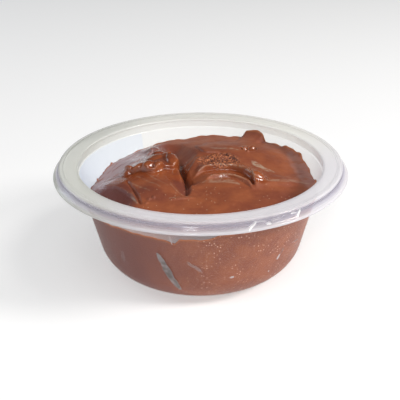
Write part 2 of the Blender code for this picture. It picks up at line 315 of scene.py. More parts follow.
# Painted shade on the mousse's side, growing towards the left, and its strength.
SIDE_PAINTED_SHADE = (-4.0, 32.0)
SIDE_PAINTED_SHADE_STRENGTH = 0.85
SPECKLED_SIDE = ((-22.0, 30.0), (4.0, 20.0), 0.6)
PINHOLED_SIDE = ((-16.0, 24.0), (8.0, 20.0), 0.7)
# How far from its edge the mousse is thin.
THIN_TOP = 1.2
THIN_SIDE = 0.9
# On the tub: painted light towards the back, and painted shade towards the left.
TUB_FAR_LIGHT = (-12.0, 50.0)
TUB_LEFT_SHADE = (18.0, 30.0)

# Painted highlights and painted sheens, some on marks that a spoon left: (route, half width, strength).
PAINTED_HIGHLIGHTS = (
    # Painted highlights on the skin's edge along the two lips, on the terrace under them, and on the streaks
    # of the left lobe.
    (UPPER_SKIN, 0.5, 0.7),
    (LOWER_SKIN, 0.45, 0.7),
    (((1.0, -9.5), (5.0, -8.8), (10.0, -9.0), (15.0, -12.0)), 2.6, 0.38),
    (((-26.0, -3.0), (-21.0, -9.0), (-15.5, -15.5)), 0.35, 0.4),
    (((-22.0, -2.5), (-18.0, -8.0), (-12.5, -14.5)), 0.3, 0.35),
    (((-27.5, -8.0), (-23.5, -13.0), (-19.5, -17.5)), 0.35, 0.4),
    (((-12.0, -22.6), (-8.0, -22.2), (-3.0, -21.6)), 0.4, 0.5),
    (((-12.0, -12.6), (-9.9, -16.6), (-7.9, -19.6), (-5.9, -21.8)), 0.3, 0.6),
    (((-27.0, -17.0), (-25.4, -20.5), (-23.6, -24.6)), 0.4, 0.5),
    # A painted sheen on the spoon's mark on the right lobe, and two more painted sheens.
    (((21.8, 9.6), (23.8, 6.4), (26.0, 4.6)), 2.2, 0.8),
    (((24.4, 5.0), (27.2, 2.8), (30.0, 1.4)), 1.8, 0.7),
    (((4.0, 21.6), (8.0, 19.8), (12.5, 19.8), (17.0, 18.2)), 1.3, 0.5),
    (((25.0, -9.6), (31.0, -7.6), (38.0, -5.0), (44.0, -3.4)), 1.5, 0.35),
)

# Air between the mousse and the wall, as ovals on the wall:
# (direction, height, half height, half width, lean, strength), where a lean is to the right.
WALL_GAPS = (
    (-107.0, 19.6, 7.6, 1.35, -22.0, 1.0),
    (-104.6, 14.2, 6.6, 1.25, -28.0, 1.0),
    (-92.8, 20.7, 4.2, 0.8, -46.0, 0.45),
    (-132.0, 19.0, 3.2, 1.3, 10.0, 0.25),
)

# Scratches and small pale marks on the wall, and painted glints on the skirt of the rim, as the same ovals.
WALL_MARKS = (
    (-46.4, 20.4, 1.8, 0.3, 24.0, 0.35),
    (-47.9, 18.3, 1.4, 0.75, 20.0, 0.6),
    (-74.4, 14.8, 0.6, 0.9, 0.0, 0.8),
    (-52.9, 12.7, 0.4, 0.4, 0.0, 0.7),
    (-34.9, 21.2, 0.3, 3.2, 8.0, 0.3),
    (-32.5, 18.6, 0.3, 2.4, 4.0, 0.25),
    (-103.2, 32.8, 2.2, 0.3, -16.0, 0.7),
)
SKIRT_GLINTS = (
    (-72.6, 42.9, 2.4, 0.3, 62.0, 1.0),
    (-69.4, 43.9, 0.2, 2.6, 5.0, 0.6),
    (-66.2, 42.9, 0.25, 1.2, 0.0, 0.9),
    (-63.0, 43.6, 0.2, 2.2, -4.0, 0.5),
    (-53.6, 43.4, 1.9, 0.4, 55.0, 1.0),
    (-55.6, 44.1, 0.25, 1.5, 0.0, 0.7),
)
# How thick such an oval is as a lens, its ripples' size and height, and where its edge fades.
LENS_THICKNESS = 3.0
LENS_RIPPLE = 2.5
LENS_SHIFT = 0.9
LENS_EDGE = (0.85, 1.05)

# Where a painted cool reflection lies on the far wall: from this direction round to this one, and over how
# many degrees it starts and ends.
COOL_WALL = (123.0, 200.0)
COOL_WALL_START = 0.8
COOL_WALL_END = 20.0

# How many patches the noise has before it repeats.
LATTICE = 64


def smooth(value):
    """0 below 0, 1 above 1, and an even S between. It takes a number or an array."""
    value = np.clip(value, 0.0, 1.0)
    return value * value * (3.0 - 2.0 * value)


def grows(value, start, width):
    """0 up to the start, and then an even S up to 1 over that width."""
    return smooth((value - start) / width)


def patches(x, y, size, seed):
    """Soft noise from -1 to 1 over a plan, with patches about that many millimetres across."""
    lattice = np.random.default_rng(seed).uniform(-1.0, 1.0, (LATTICE, LATTICE))
    column, row = np.floor(x / size).astype(int), np.floor(y / size).astype(int)
    right, back = smooth(x / size - column), smooth(y / size - row)
    column, row = column % LATTICE, row % LATTICE
    next_column, next_row = (column + 1) % LATTICE, (row + 1) % LATTICE
    near_left, near_right = lattice[column, row], lattice[next_column, row]
    far_left, far_right = lattice[column, next_row], lattice[next_column, next_row]
    near = near_left + (near_right - near_left) * right
    far = far_left + (far_right - far_left) * right
    return near + (far - near) * back


def noises(x, y, layers):
    """The sum of soft noises, each of its own height, size and seed."""
    return sum(height * patches(x, y, size, seed) for height, size, seed in layers)


def turned_plan(x, y, turn):
    """How far each point is along a direction, and how far to its left."""
    cosine = math.cos(math.radians(turn))
    sine = math.sin(math.radians(turn))
    return x * cosine + y * sine, -x * sine + y * cosine


def oval(x, y, centre_x, centre_y, half_length, half_width, turn):
    """Squared distance from an oval's middle, 1 on its edge."""
    along, across = turned_plan(x - centre_x, y - centre_y, turn)
    return (along / half_length) ** 2 + (across / half_width) ** 2


def soft_oval(x, y, form, fade):
    """A mask over an oval, which fades towards its edge and beyond."""
    middle, loss = fade
    return smooth(middle - loss * oval(x, y, *form))


# ------ routes in plan
def spline(route):
    """A smooth line through the points of a route, as closely spaced points."""
    route = np.array(route)
    first = 2.0 * route[0] - route[1]
    last = 2.0 * route[-1] - route[-2]
    knots = np.concatenate([[first], route, [last]])
    line = []
    for before, start, end, after in zip(knots, knots[1:], knots[2:], knots[3:]):
        steps = max(2, math.ceil(np.hypot(*(end - start)) / SPLINE_STEP))
        for share in np.arange(steps) / steps:
            bend = 2.0 * before - 5.0 * start + 4.0 * end - after
            twist = 3.0 * start - before - 3.0 * end + after
            line.append(start + 0.5 * share * (end - before + share * (bend + share * twist)))
    line.append(route[-1])
    return np.array(line)


def follow(x, y, route, reach):
    """The points within reach of a route: which they are, how far to its left they are,
    which share of its length they are beside, and which way its left is there."""
    line = spline(route)
    low, high = line.min(0) - reach, line.max(0) + reach
    near = np.nonzero((x > low[0]) & (x < high[0]) & (y > low[1]) & (y < high[1]))[0]
    steps = np.diff(line, axis=0)
    lengths = np.hypot(steps[:, 0], steps[:, 1])
    passed = np.concatenate([[0.0], np.cumsum(lengths)])
    nearest = np.full(len(near), np.inf)
    left = np.zeros(len(near))
    share = np.zeros(len(near))
    side = np.zeros((len(near), 2))
    for start, step, length, before in zip(line, steps, lengths, passed):
        way = step / length
        from_x, from_y = x[near] - start[0], y[near] - start[1]
        along = np.clip(from_x * way[0] + from_y * way[1], 0.0, length)
        off_x, off_y = from_x - along * way[0], from_y - along * way[1]
        away = np.hypot(off_x, off_y)
        closer = away < nearest
        nearest[closer] = away[closer]
        left[closer] = np.copysign(away, way[0] * off_y - way[1] * off_x)[closer]
        share[closer] = ((before + along) / passed[-1])[closer]
        side[closer] = (-way[1], way[0])
    return near, left, share, side


def ends(share, length):
    """Fades a form in and out at both ends of its route."""
    return smooth(share / length) * smooth((1.0 - share) / length)


# ------ mousse's forms
def contact_depth(direction):
    """How far below the rim's top the mousse meets the wall, before smears."""
    stations, depths = np.transpose(CONTACT)
    stations = np.append(stations, stations[0] + 360.0)
    depths = np.append(depths, depths[0])
    turned = np.where(direction < stations[0], direction + 360.0, direction)
    index = np.clip(np.searchsorted(stations, turned, side="right") - 1, 0, len(CONTACT) - 1)
    share = (turned - stations[index]) / (stations[index + 1] - stations[index])
    return depths[index] + (depths[index + 1] - depths[index]) * smooth(share)


def smears(direction, inward):
    """How much higher the mousse stands up the wall, that far in from it."""
    total = np.zeros_like(direction)
    for centre, half_width, height, reach, steepness in SMEARS:
        away = np.abs((direction - centre + 180.0) % 360.0 - 180.0)
        total += height * smooth(steepness * (1.0 - away / half_width)) * np.exp(-inward / reach)
    tip, left, right, depth = NOTCH
    away = np.where(direction < tip, (tip - direction) / left, (direction - tip) / right)
    total -= depth * np.maximum(0.0, 1.0 - away) * np.exp(-inward / NOTCH_REACH)
    for waves, height, shift in EDGE_WAVES:
        total += height * np.sin(waves * np.radians(direction) + shift) * np.exp(-inward / EDGE_WAVE_REACH)
    return total


def edge_height(direction):
    """How high the mousse's edge stands on the wall."""
    return TUB_HEIGHT - contact_depth(direction) + smears(direction, 0.0)


def relief(x, y):
    """How much the small forms raise each point, and how far they push it sideways."""
    rise = np.zeros_like(x)
    push = np.zeros((len(x), 2))
    for route, heights, left_width, right_width in RIDGES:
        near, left, share, _ = follow(x, y, route, max(left_width, right_width))
        width = np.where(left > 0.0, left_width, right_width)
        height = np.interp(share, (0.0, 0.5, 1.0), heights)
        rise[near] += height * smooth(1.0 - np.abs(left) / width) * ends(share, RIDGE_ENDS)
    for route, height, face, fade, lip in BANKS:
        near, left, share, side = follow(x, y, route, fade)
        strength = ends(share, BANK_ENDS)
        step = smooth(left / face + 0.5)
        rise[near] += height * step * smooth(1.0 - left / fade) * strength
        roll = smooth(1.0 - np.abs(left - LIP_MIDDLE * face) / (LIP_REACH * face)) * strength
        rise[near] += LIP_RISE * lip * roll
        push[near] -= (lip * roll)[:, None] * side
    for route, depth, full_width, way_back, pointed in DROPS:
        near, left, share, _ = follow(x, y, route, full_width + way_back)
        width = full_width * np.maximum(share, 0.01) ** (POINTED_WIDTH if pointed else 0.0)
        fall = np.clip(-left / width, 0.0, 1.0) * smooth(1.0 + (left + width) / way_back)
        rise[near] -= depth * fall * ends(share, DROP_ENDS)
    for *form, height in LUMPS:
        rise += height * np.sqrt(np.maximum(0.0, 1.0 - oval(x, y, *form)))
    return rise, push


def unevenness(x, y, masks):
    """The small waves, the streaks of the wet slope, the crumb of the foam and the brushed lines."""
    along, across = turned_plan(x, y, STREAK_DIRECTION)
    streaks = noises(along / STREAK_STRETCH, across, STREAKS)
    along, across = turned_plan(x, y, BRUSHED[-1])
    lines = noises(along / BRUSHED_STRETCH, across, BRUSHED_LINES)
    brushed = soft_oval(x, y, BRUSHED, BRUSHED_FADE) * lines
    return noises(x, y, WAVES) + masks["wet_and_sheen"] * streaks + masks["foam"] * noises(x, y, CRUMB) + brushed


def mousse_masks(x, y, wall):
    """How wet, foamy, speckled and thin the mousse's top is at each point in plan, and where it has painted
    highlights, painted sheen and painted shade.
    """
    # Painted highlights and sheens along routes.
    painted_highlight = np.zeros_like(x)
    for route, half_width, strength in PAINTED_HIGHLIGHTS:
        near, left, share, _ = follow(x, y, route, half_width)
        width = half_width * np.sqrt(np.sin(math.pi * np.clip(share, 0.02, 0.98)))
        painted_highlight[near] = np.maximum(painted_highlight[near], strength * smooth(2.0 * (1.0 - np.abs(left) / width)))
    gloss = [soft_oval(x, y, form, GLOSS_FADE) for form in GLOSSY]
    # Painted shade.
    painted_shade = [strength * soft_oval(x, y, form, PAINTED_SHADE_FADE) for *form, strength in PAINTED_SHADE_OVALS]
    # Painted sheen along the right edge.
    sheen_edge = SHEEN_EDGE_SHARE * soft_oval(x, y, SHEEN_EDGE, SHEEN_EDGE_FADE)
    return {
        "gloss": np.max(gloss, axis=0),
        "painted_shade": np.max(painted_shade, axis=0),
        "wet_and_sheen": np.maximum(soft_oval(x, y, WET_SLOPE, WET_FADE), sheen_edge),
        "foam": soft_oval(x, y, FOAM_PATCH, FOAM_FADE),
        "painted_highlight": painted_highlight,
        "speckled": grows(-y, *SPECKLED_TOP),
        "walled": np.zeros_like(x),
        "thin": smooth(1.0 - (wall - np.hypot(x, y)) / THIN_TOP),
    }


def mousse_top(x, y, wall, masks):
    """Where each point of the mousse's top goes, where the wall is that far from the axis."""
    radius = np.hypot(x, y)
    direction = np.degrees(np.arctan2(y, x))
    out = np.minimum(radius / wall, 1.0)
    edge = TUB_HEIGHT - contact_depth(direction)
    crown = TUB_HEIGHT - CROWN_DEPTH
    height = edge + (crown - edge) * (1.0 - out**EDGE_ROUNDING)
    swell = sum(rise * np.exp(-SWELL_FALL * oval(x, y, *form)) for *form, rise in SWELLINGS)
    rise, push = relief(x, y)
    inside = smooth((1.0 - out) * EDGE_STEEPNESS)
    height += (swell + rise + unevenness(x, y, masks)) * inside
    height += smears(direction, wall - radius)
    return np.stack([x + push[:, 0] * inside, y + push[:, 1] * inside, height], 1)


# ------ turned shapes
def arc_corner(before, corner, after, bend, steps):
    """Points of the round that replaces a corner of a line."""
    into = np.subtract(corner, before)
    out = np.subtract(after, corner)
    into = into / np.hypot(*into)
    out = out / np.hypot(*out)
    turn = math.atan2(into[0] * out[1] - into[1] * out[0], into[0] * out[0] + into[1] * out[1])
    side = math.copysign(1.0, turn)
    start = corner - into * bend * math.tan(abs(turn) / 2.0)
    centre = start + side * bend * np.array((-into[1], into[0]))
    arm = start - centre
    points = []
    for angle in np.linspace(0.0, turn, steps + 1):
        cosine, sine = math.cos(angle), math.sin(angle)
        points.append(centre + (arm[0] * cosine - arm[1] * sine, arm[0] * sine + arm[1] * cosine))
    return points


def fillet(corners):
    """The line through (point, bend, steps), with each inner corner rounded to its bend."""
    line = [np.array(corners[0][0])]
    for (before, _, _), (corner, bend, steps), (after, _, _) in zip(corners, corners[1:], corners[2:]):
        line += arc_corner(before, np.array(corner), after, bend, steps)
    line.append(np.array(corners[-1][0]))
    return np.array(line)


def offset(line, distance):
    """The line moved sideways, to the left of its direction."""
    along = np.gradient(line, axis=0)
    along /= np.linalg.norm(along, axis=1)[:, None]
    return line + distance * np.stack([-along[:, 1], along[:, 0]], 1)


def tub_sheet():
    """The middle of the tub's sheet as (radius, height), from the axis to the lip's edge.

    Each corner has its place, the bend that rounds it and the steps of that bend.
    """
    top = TUB_HEIGHT - HALF
    shoulder = TUB_HEIGHT - SHOULDER_DROP
    wall_top = FOOT_RADIUS + math.tan(WALL_LEAN) * (shoulder - HALF - SHOULDER_STEP)
    skirt = BEAD_RADIUS - HALF
    corners = [
        ((0.0, HALF), 0.0, 0),
        ((FOOT_RADIUS, HALF), FOOT_BEND, 14),
        ((wall_top, shoulder - SHOULDER_STEP), 0.3, 3),
        ((GROOVE_RADIUS, shoulder), 0.3, 3),
        ((GROOVE_RADIUS, TUB_HEIGHT - GROOVE_DROP), 0.35, 4),
        ((LAND_INNER_RADIUS + HALF, top - 0.6), 0.45, 6),
        ((BEAD_INNER_RADIUS, top - 0.35), 1.5, 3),
        ((BEAD_INNER_RADIUS + 0.5, top), 0.8, 3),
        ((skirt - 0.4, top), 0.45, 5),
        ((skirt, TUB_HEIGHT - 0.65), 0.45, 4),
        ((skirt + 0.05, TUB_HEIGHT - 1.3), 0.12, 2),
        ((skirt + 0.3, TUB_HEIGHT - 1.5), 0.12, 2),
        ((FLARE_RADIUS - HALF, TUB_HEIGHT - FLARE_DROP), 2.0, 6),
        ((LIP_RADIUS - HALF, TUB_HEIGHT - LIP_DROP), 0.0, 0),
    ]
    return fillet(corners)


def mousse_bend():
    """The mousse's side below the straight wall, from its top down to the floor."""
    skin = offset(tub_sheet(), HALF - INTO_WALL)
    bend = [point for point in skin[1:] if point[1] < BEND_TOP and point[0] > BEND_INNER_RADIUS]
    return np.array(bend[::-1])


def wall_reach(height):
    """How far from the axis the tub's straight wall is at that height."""
    foot = mousse_bend()[0]
    return foot[0] + math.tan(WALL_LEAN) * (height - foot[1])


def dense_line(line, longest):
    """The same line with more points, none further apart than that."""
    points = [line[0]]
    for start, end in zip(line, line[1:]):
        steps = max(1, math.ceil(np.hypot(*(end - start)) / longest))
        for step in range(1, steps + 1):
            points.append(start + (end - start) * step / steps)
    return np.array(points)


# ------ meshes
def new_object(name, points, faces, finish, attributes):
    """A smooth mesh from points in millimetres, with one number a point for each attribute."""
    data = bpy.data.meshes.new(name)
    data.from_pydata(points * MM, [], faces)
    data.shade_smooth()
    for title, values in attributes.items():
        layer = data.attributes.new(title, "FLOAT", "POINT")
        layer.data.foreach_set("value", np.asarray(values, np.float32))
    data.materials.append(finish)
    made = bpy.data.objects.new(name, data)
    bpy.context.scene.collection.objects.link(made)
    return made


def square_to_disc(across, back):
    """Turns points of the square from -1 to 1 into ones of the unit disc, finer in the middle."""
    x = across * np.sqrt(1.0 - back * back / 2.0)
    y = back * np.sqrt(1.0 - across * across / 2.0)
    spread = 1.0 - CENTRE_FINENESS * (1.0 - x * x - y * y)
    return x * spread, y * spread


def strips(rows):
    """The four-sided faces between rows of points that each close on themselves."""
    ahead = np.roll(rows, -1, axis=1)
    return np.stack([rows[:-1], rows[1:], ahead[1:], ahead[:-1]], axis=2).reshape(-1, 4).tolist()


def hollowness(heights):
    """How far each point of the grid lies below those round it, in millimetres, near and wide."""
    mean = heights.copy()
    deep = []
    for count in HOLLOW_REACH:
        for _ in range(count):
            padded = np.pad(mean, 1, mode="edge")
            mean = (padded[:-2, 1:-1] + padded[2:, 1:-1] + padded[1:-1, :-2] + padded[1:-1, 2:]) / 4.0
        deep.append(mean - heights)
    return np.maximum(deep[0], HOLLOW_SHARE * deep[1])


def marked_side(side, right, back, back_share):
    """A mask that grows along the mousse's side towards the right, and less so towards the back."""
    return np.maximum(grows(side[:, 0], *right), back_share * grows(side[:, 1], *back))


def mousse_side(edge, bend):
    """The rows of points from the mousse's top edge down to the floor, as a grid of them."""
    direction = np.arctan2(edge[:, 1], edge[:, 0])
    edge_radius = np.hypot(edge[:, 0], edge[:, 1])
    levels = []
    for share in SIDE_SHARES:
        radius = edge_radius + (bend[0][0] - edge_radius) * share
        levels.append((radius, edge[:, 2] + (bend[0][1] - edge[:, 2]) * share))
    for radius, height in bend[1:]:
        levels.append((np.full(len(edge), radius), np.full(len(edge), height)))
    radius, height = (np.array(values) for values in zip(*levels))
    return np.stack([radius * np.cos(direction), radius * np.sin(direction), height], axis=2)


def build_mousse(finish):
    bend = mousse_bend()
    count = TOP_CELLS + 1
    steps = np.linspace(-1.0, 1.0, count)
    back, across = (values.ravel() for values in np.meshgrid(steps, steps, indexing="ij"))
    x, y = square_to_disc(across, back)
    wall = wall_reach(edge_height(np.degrees(np.arctan2(y, x))))
    masks = mousse_masks(x * wall, y * wall, wall)
    top = mousse_top(x * wall, y * wall, wall, masks)
    masks["hollow"] = hollowness(top[:, 2].reshape(count, count)).ravel()

    index = np.arange(count * count).reshape(count, count)
    squares = np.stack([index[:-1, :-1], index[:-1, 1:], index[1:, 1:], index[1:, :-1]], axis=2)
    rim = np.concatenate([index[0, :-1], index[:-1, -1], index[-1, :0:-1], index[:0:-1, 0]])
    levels = mousse_side(top[rim], bend)
    below_edge = (top[rim][:, 2] - levels[:, :, 2]).ravel()
    side = levels.reshape(-1, 3)
    rows = len(top) + np.arange(len(side)).reshape(len(levels), len(rim))
    rows = np.concatenate([rim[None, :], rows])
    foot = len(top) + len(side)
    faces = squares.reshape(-1, 4).tolist() + strips(rows)
    faces += [(foot, after, before) for before, after in zip(rows[-1], np.roll(rows[-1], -1))]
    points = np.concatenate([top, side, [[0.0, 0.0, bend[-1][1]]]])

    side_masks = {name: np.zeros(len(side)) for name in masks}
    # Painted shade on the side, darker towards the left.
    side_masks["painted_shade"] = SIDE_PAINTED_SHADE_STRENGTH * grows(-side[:, 0], *SIDE_PAINTED_SHADE)
    side_masks["speckled"] = marked_side(side, *SPECKLED_SIDE)
    side_masks["walled"] = marked_side(side, *PINHOLED_SIDE)
    side_masks["thin"] = smooth(1.0 - below_edge / THIN_SIDE)
    attributes = {name: np.concatenate([masks[name], side_masks[name], [0.0]]) for name in masks}
    return new_object("mousse_body", points, faces, finish, attributes)


def sheet_clarity(radius, height):
    """How clear the sheet is before what lies behind it counts: the wall is, the rim is less.
    Each part of the rim fades in from a radius or a height. Also where the skirt is."""
    rim = grows(height, TUB_HEIGHT - SHOULDER_DROP - 0.55, 0.5)
    skirt = grows(radius, BEAD_RADIUS - 0.6, 0.3) * grows(-height, 0.3 - TUB_HEIGHT, 0.3)
    flare = grows(radius, FLARE_RADIUS - 0.3, 0.4)
    lip = grows(radius, LIP_RADIUS - 0.7, 0.25)
    clarity = 1.0 + (RIM_CLARITY - 1.0) * rim
    for share, value in ((skirt, SKIRT_CLARITY), (flare, FLARE_CLARITY), (lip, LIP_CLARITY)):
        clarity += (value - clarity) * share
    return clarity, skirt * (1.0 - flare)


def cool_wall(direction, height):
    """Where the far left wall carries a painted cool reflection: it starts sharply, and ends below the rim.
    """
    first, last = COOL_WALL
    below = grows(-height, SHOULDER_DROP - TUB_HEIGHT, 0.5)
    return grows(direction, first, COOL_WALL_START) * grows(-direction, -last, COOL_WALL_END) * below


def build_tub(finish):
    sheet = tub_sheet()
    inner = offset(sheet, HALF)
    outer = offset(sheet, -HALF)
    inner[0][0] = outer[0][0] = 0.0
    inner, outer = dense_line(inner, INNER_SPACING), dense_line(outer, OUTER_SPACING)
    line = np.concatenate([inner, outer[::-1]])
    angles = np.arange(TUB_SEGMENTS) * 2.0 * math.pi / TUB_SEGMENTS
    rings = line[1:-1]
    radius = np.repeat(rings[:, :1], TUB_SEGMENTS, axis=1)
    height = np.repeat(rings[:, 1:], TUB_SEGMENTS, axis=1)
    x, y = radius * np.cos(angles), radius * np.sin(angles)
    direction = np.degrees(np.broadcast_to(angles, radius.shape))
    ring_points = np.stack([x, y, height], axis=2).reshape(-1, 3)
    points = np.concatenate([ring_points, [[0.0, 0.0, line[0][1]]], [[0.0, 0.0, line[-1][1]]]])
    rows = np.arange(len(ring_points)).reshape(len(rings), TUB_SEGMENTS)
    faces = [face[::-1] for face in strips(rows)]
    inner_pole, outer_pole = len(points) - 2, len(points) - 1
    faces += [(inner_pole, before, after) for before, after in zip(rows[0], np.roll(rows[0], -1))]
    faces += [(outer_pole, after, before) for before, after in zip(rows[-1], np.roll(rows[-1], -1))]

    inside = (np.arange(len(rings)) < len(inner) - 1)[:, None]
    clarity, skirt = sheet_clarity(radius, height)
    attributes = {
        "inside": np.broadcast_to(inside, radius.shape),
        "empty": height - edge_height((direction + 180.0) % 360.0 - 180.0),
        "clarity": clarity,
        # Where the skirt is, for its painted shade.
        "skirt": skirt,
        # Painted light towards the back.
        "far": grows(y, *TUB_FAR_LIGHT),
        # Painted shade towards the left.
        "left_shade": grows(-x, *TUB_LEFT_SHADE),
        # Painted cool reflection on the far wall.
        "cool": inside * cool_wall(direction, height),
    }
    stored = {}
    # Each pole has the same values as the ring beside it.
    for name, values in attributes.items():
        stored[name] = np.concatenate([values.ravel(), [values[0, 0], values[-1, 0]]])
    return new_object("tub_sheet", points, faces, finish, stored)


# ------ materials
# The mousse: its two mottled browns and its grain, then what is laid over them, much of it painted sheen,
# painted highlights, painted light and painted shade.
MOUSSE_DEEP = (0.212, 0.044, 0.013)
MOUSSE_WARM = (0.272, 0.065, 0.018)
MOUSSE_LIGHT = (0.36, 0.112, 0.038)
# Painted sheen: the wet slope's reflection of the wall, laid into the colour.
MOUSSE_PAINTED_SHEEN = (0.40, 0.27, 0.27)
MOUSSE_THIN = (0.42, 0.125, 0.035)
# Painted highlight.
MOUSSE_PAINTED_HIGHLIGHT = (0.46, 0.35, 0.25)
# Painted shade.
MOUSSE_PAINTED_SHADE = (0.125, 0.019, 0.010)
# Painted light on the foam's crests.
MOUSSE_CREST_LIGHT = (0.52, 0.17, 0.060)
# Tiny bubbles, their pale colour partly a painted glint.
MOUSSE_SPECK = (0.70, 0.38, 0.22)
MOUSSE_PINHOLE = (0.95, 0.62, 0.46)
# Painted shade in the foam's holes.
MOUSSE_HOLE_SHADE = (0.07, 0.016, 0.007)
MOUSSE_SHADE = (0.10, 0.024, 0.011)
# The milky plastic: painted light at the back, painted shade on the left, a painted cool reflection on the
# far wall and painted shade on the skirt, the painted glints on the skirt, and the painted shade and
# reflection of the air gaps behind the wall.
MILK = (0.85, 0.84, 0.87)
# Painted light at the back.
MILK_FAR_LIGHT = (0.93, 0.93, 0.88)
# Painted shade on the left.
MILK_LEFT_SHADE = (0.73, 0.74, 0.69)
# Painted cool reflection on the far wall.
MILK_COOL_REFLECTION = (0.70, 0.79, 0.92)
# Painted shade on the skirt.
MILK_SKIRT_SHADE = (0.58, 0.56, 0.65)
# Painted glints on the skirt.
MILK_GLINT = (1.0, 1.0, 1.0)
# Painted shade and painted reflection in the air gaps behind the wall.
GAP_SHADE = (0.25, 0.26, 0.26)
GAP_REFLECTION = (0.50, 0.51, 0.52)
# How much of the milk glows through, and how clear the sheet is where it is looked at squarely:
# against the mousse, where it stands empty, at gaps, scratches and painted glints, and on the parts of the
# rim.
TRANSLUCENCY = 0.4
WET_CLARITY = 0.987
DRY_CLARITY = 0.68
GAP_CLARITY = 0.5
RIM_CLARITY = 0.68
SKIRT_CLARITY = 0.7
GLINT_CLARITY = 0.3
FLARE_CLARITY = 0.72
LIP_CLARITY = 0.35

# Colour from soft noise: (patch size, detail, from which value, to which, the least, the most).
MOTTLE = (8.0, 2.0, 0.35, 0.65, 0.0, 1.0)
GRAIN = (1.6, 4.0, 0.3, 0.75, 0.0, 0.22)
# Streaks of painted sheen over the wet slope.
PAINTED_SHEEN_STREAKS = (2.6, 2.5, 0.32, 0.5, 0.15, 0.9)
# Patches that break up the painted highlights.
PAINTED_HIGHLIGHT_PATCHES = (1.8, 3.0, 0.36, 0.6, 0.15, 0.9)
PINHOLE_CLUSTERS = (9.0, 2.0, 0.42, 0.58, 0.12, 0.85)
# Patches of painted shade and painted reflection in the air gaps.
GAP_SHADE_PATCHES = (2.6, 5.0, 0.35, 0.65, 0.0, 1.0)
PAINTED_SHEEN_DIRECTION = math.radians(44.0)
PAINTED_SHEEN_SCALE = (4.5, 1.0, 1.0)
SWIRL_SIZE = 7.0
SWIRL_LINE = (0.012, 0.004)
SWIRL_SHARE = 0.3

# Small round marks: (spacing, radius, share of the places that hold one). The specks are tiny bubbles, their
# pale colour partly a painted glint.
SPECKS = (1.7, 0.32, 0.45)
SPECK_SHARE = 0.55
PINHOLES = (0.95, 0.27, 0.36)

# Painted light where a point stands out, and painted shade where it lies low: (from, to, least, most), in
# millimetres.
RAISED_LIGHT = (-0.1, -0.6, 0.0, 0.35)
SUNKEN_SHADE = (0.2, 1.1, 0.0, 0.88)

# The foam's crumb: its size, and between which values of its noise the holes and the crests grow. Its holes
# get painted shade, its crests painted light.
CRUMB_SIZE = 0.75
CRUMB_HOLES = (0.47, 0.38)
CRUMB_CRESTS = (0.5, 0.66)

# How shiny the mousse is, and how high its bumps are.
GLOSS_SHARE = 0.85
FOAM_SHEEN = (0.2, 0.8, 1.0, 0.15)
ROUGHNESS_DRY = 0.52
ROUGHNESS_WET = 0.13
ROUGHNESS_NOISE = 0.12
ROUGHNESS_PATCH = 3.0
SKIN_BUMP = 0.22
SKIN_BUMP_SIZE = 2.4
SPECK_BUMP = 0.12
CRUMB_BUMP = 0.9

# How softly the empty sheet starts, and the slant from which it counts as no thicker.
EMPTY_EDGE = 0.12
LEAST_FACING = 0.12


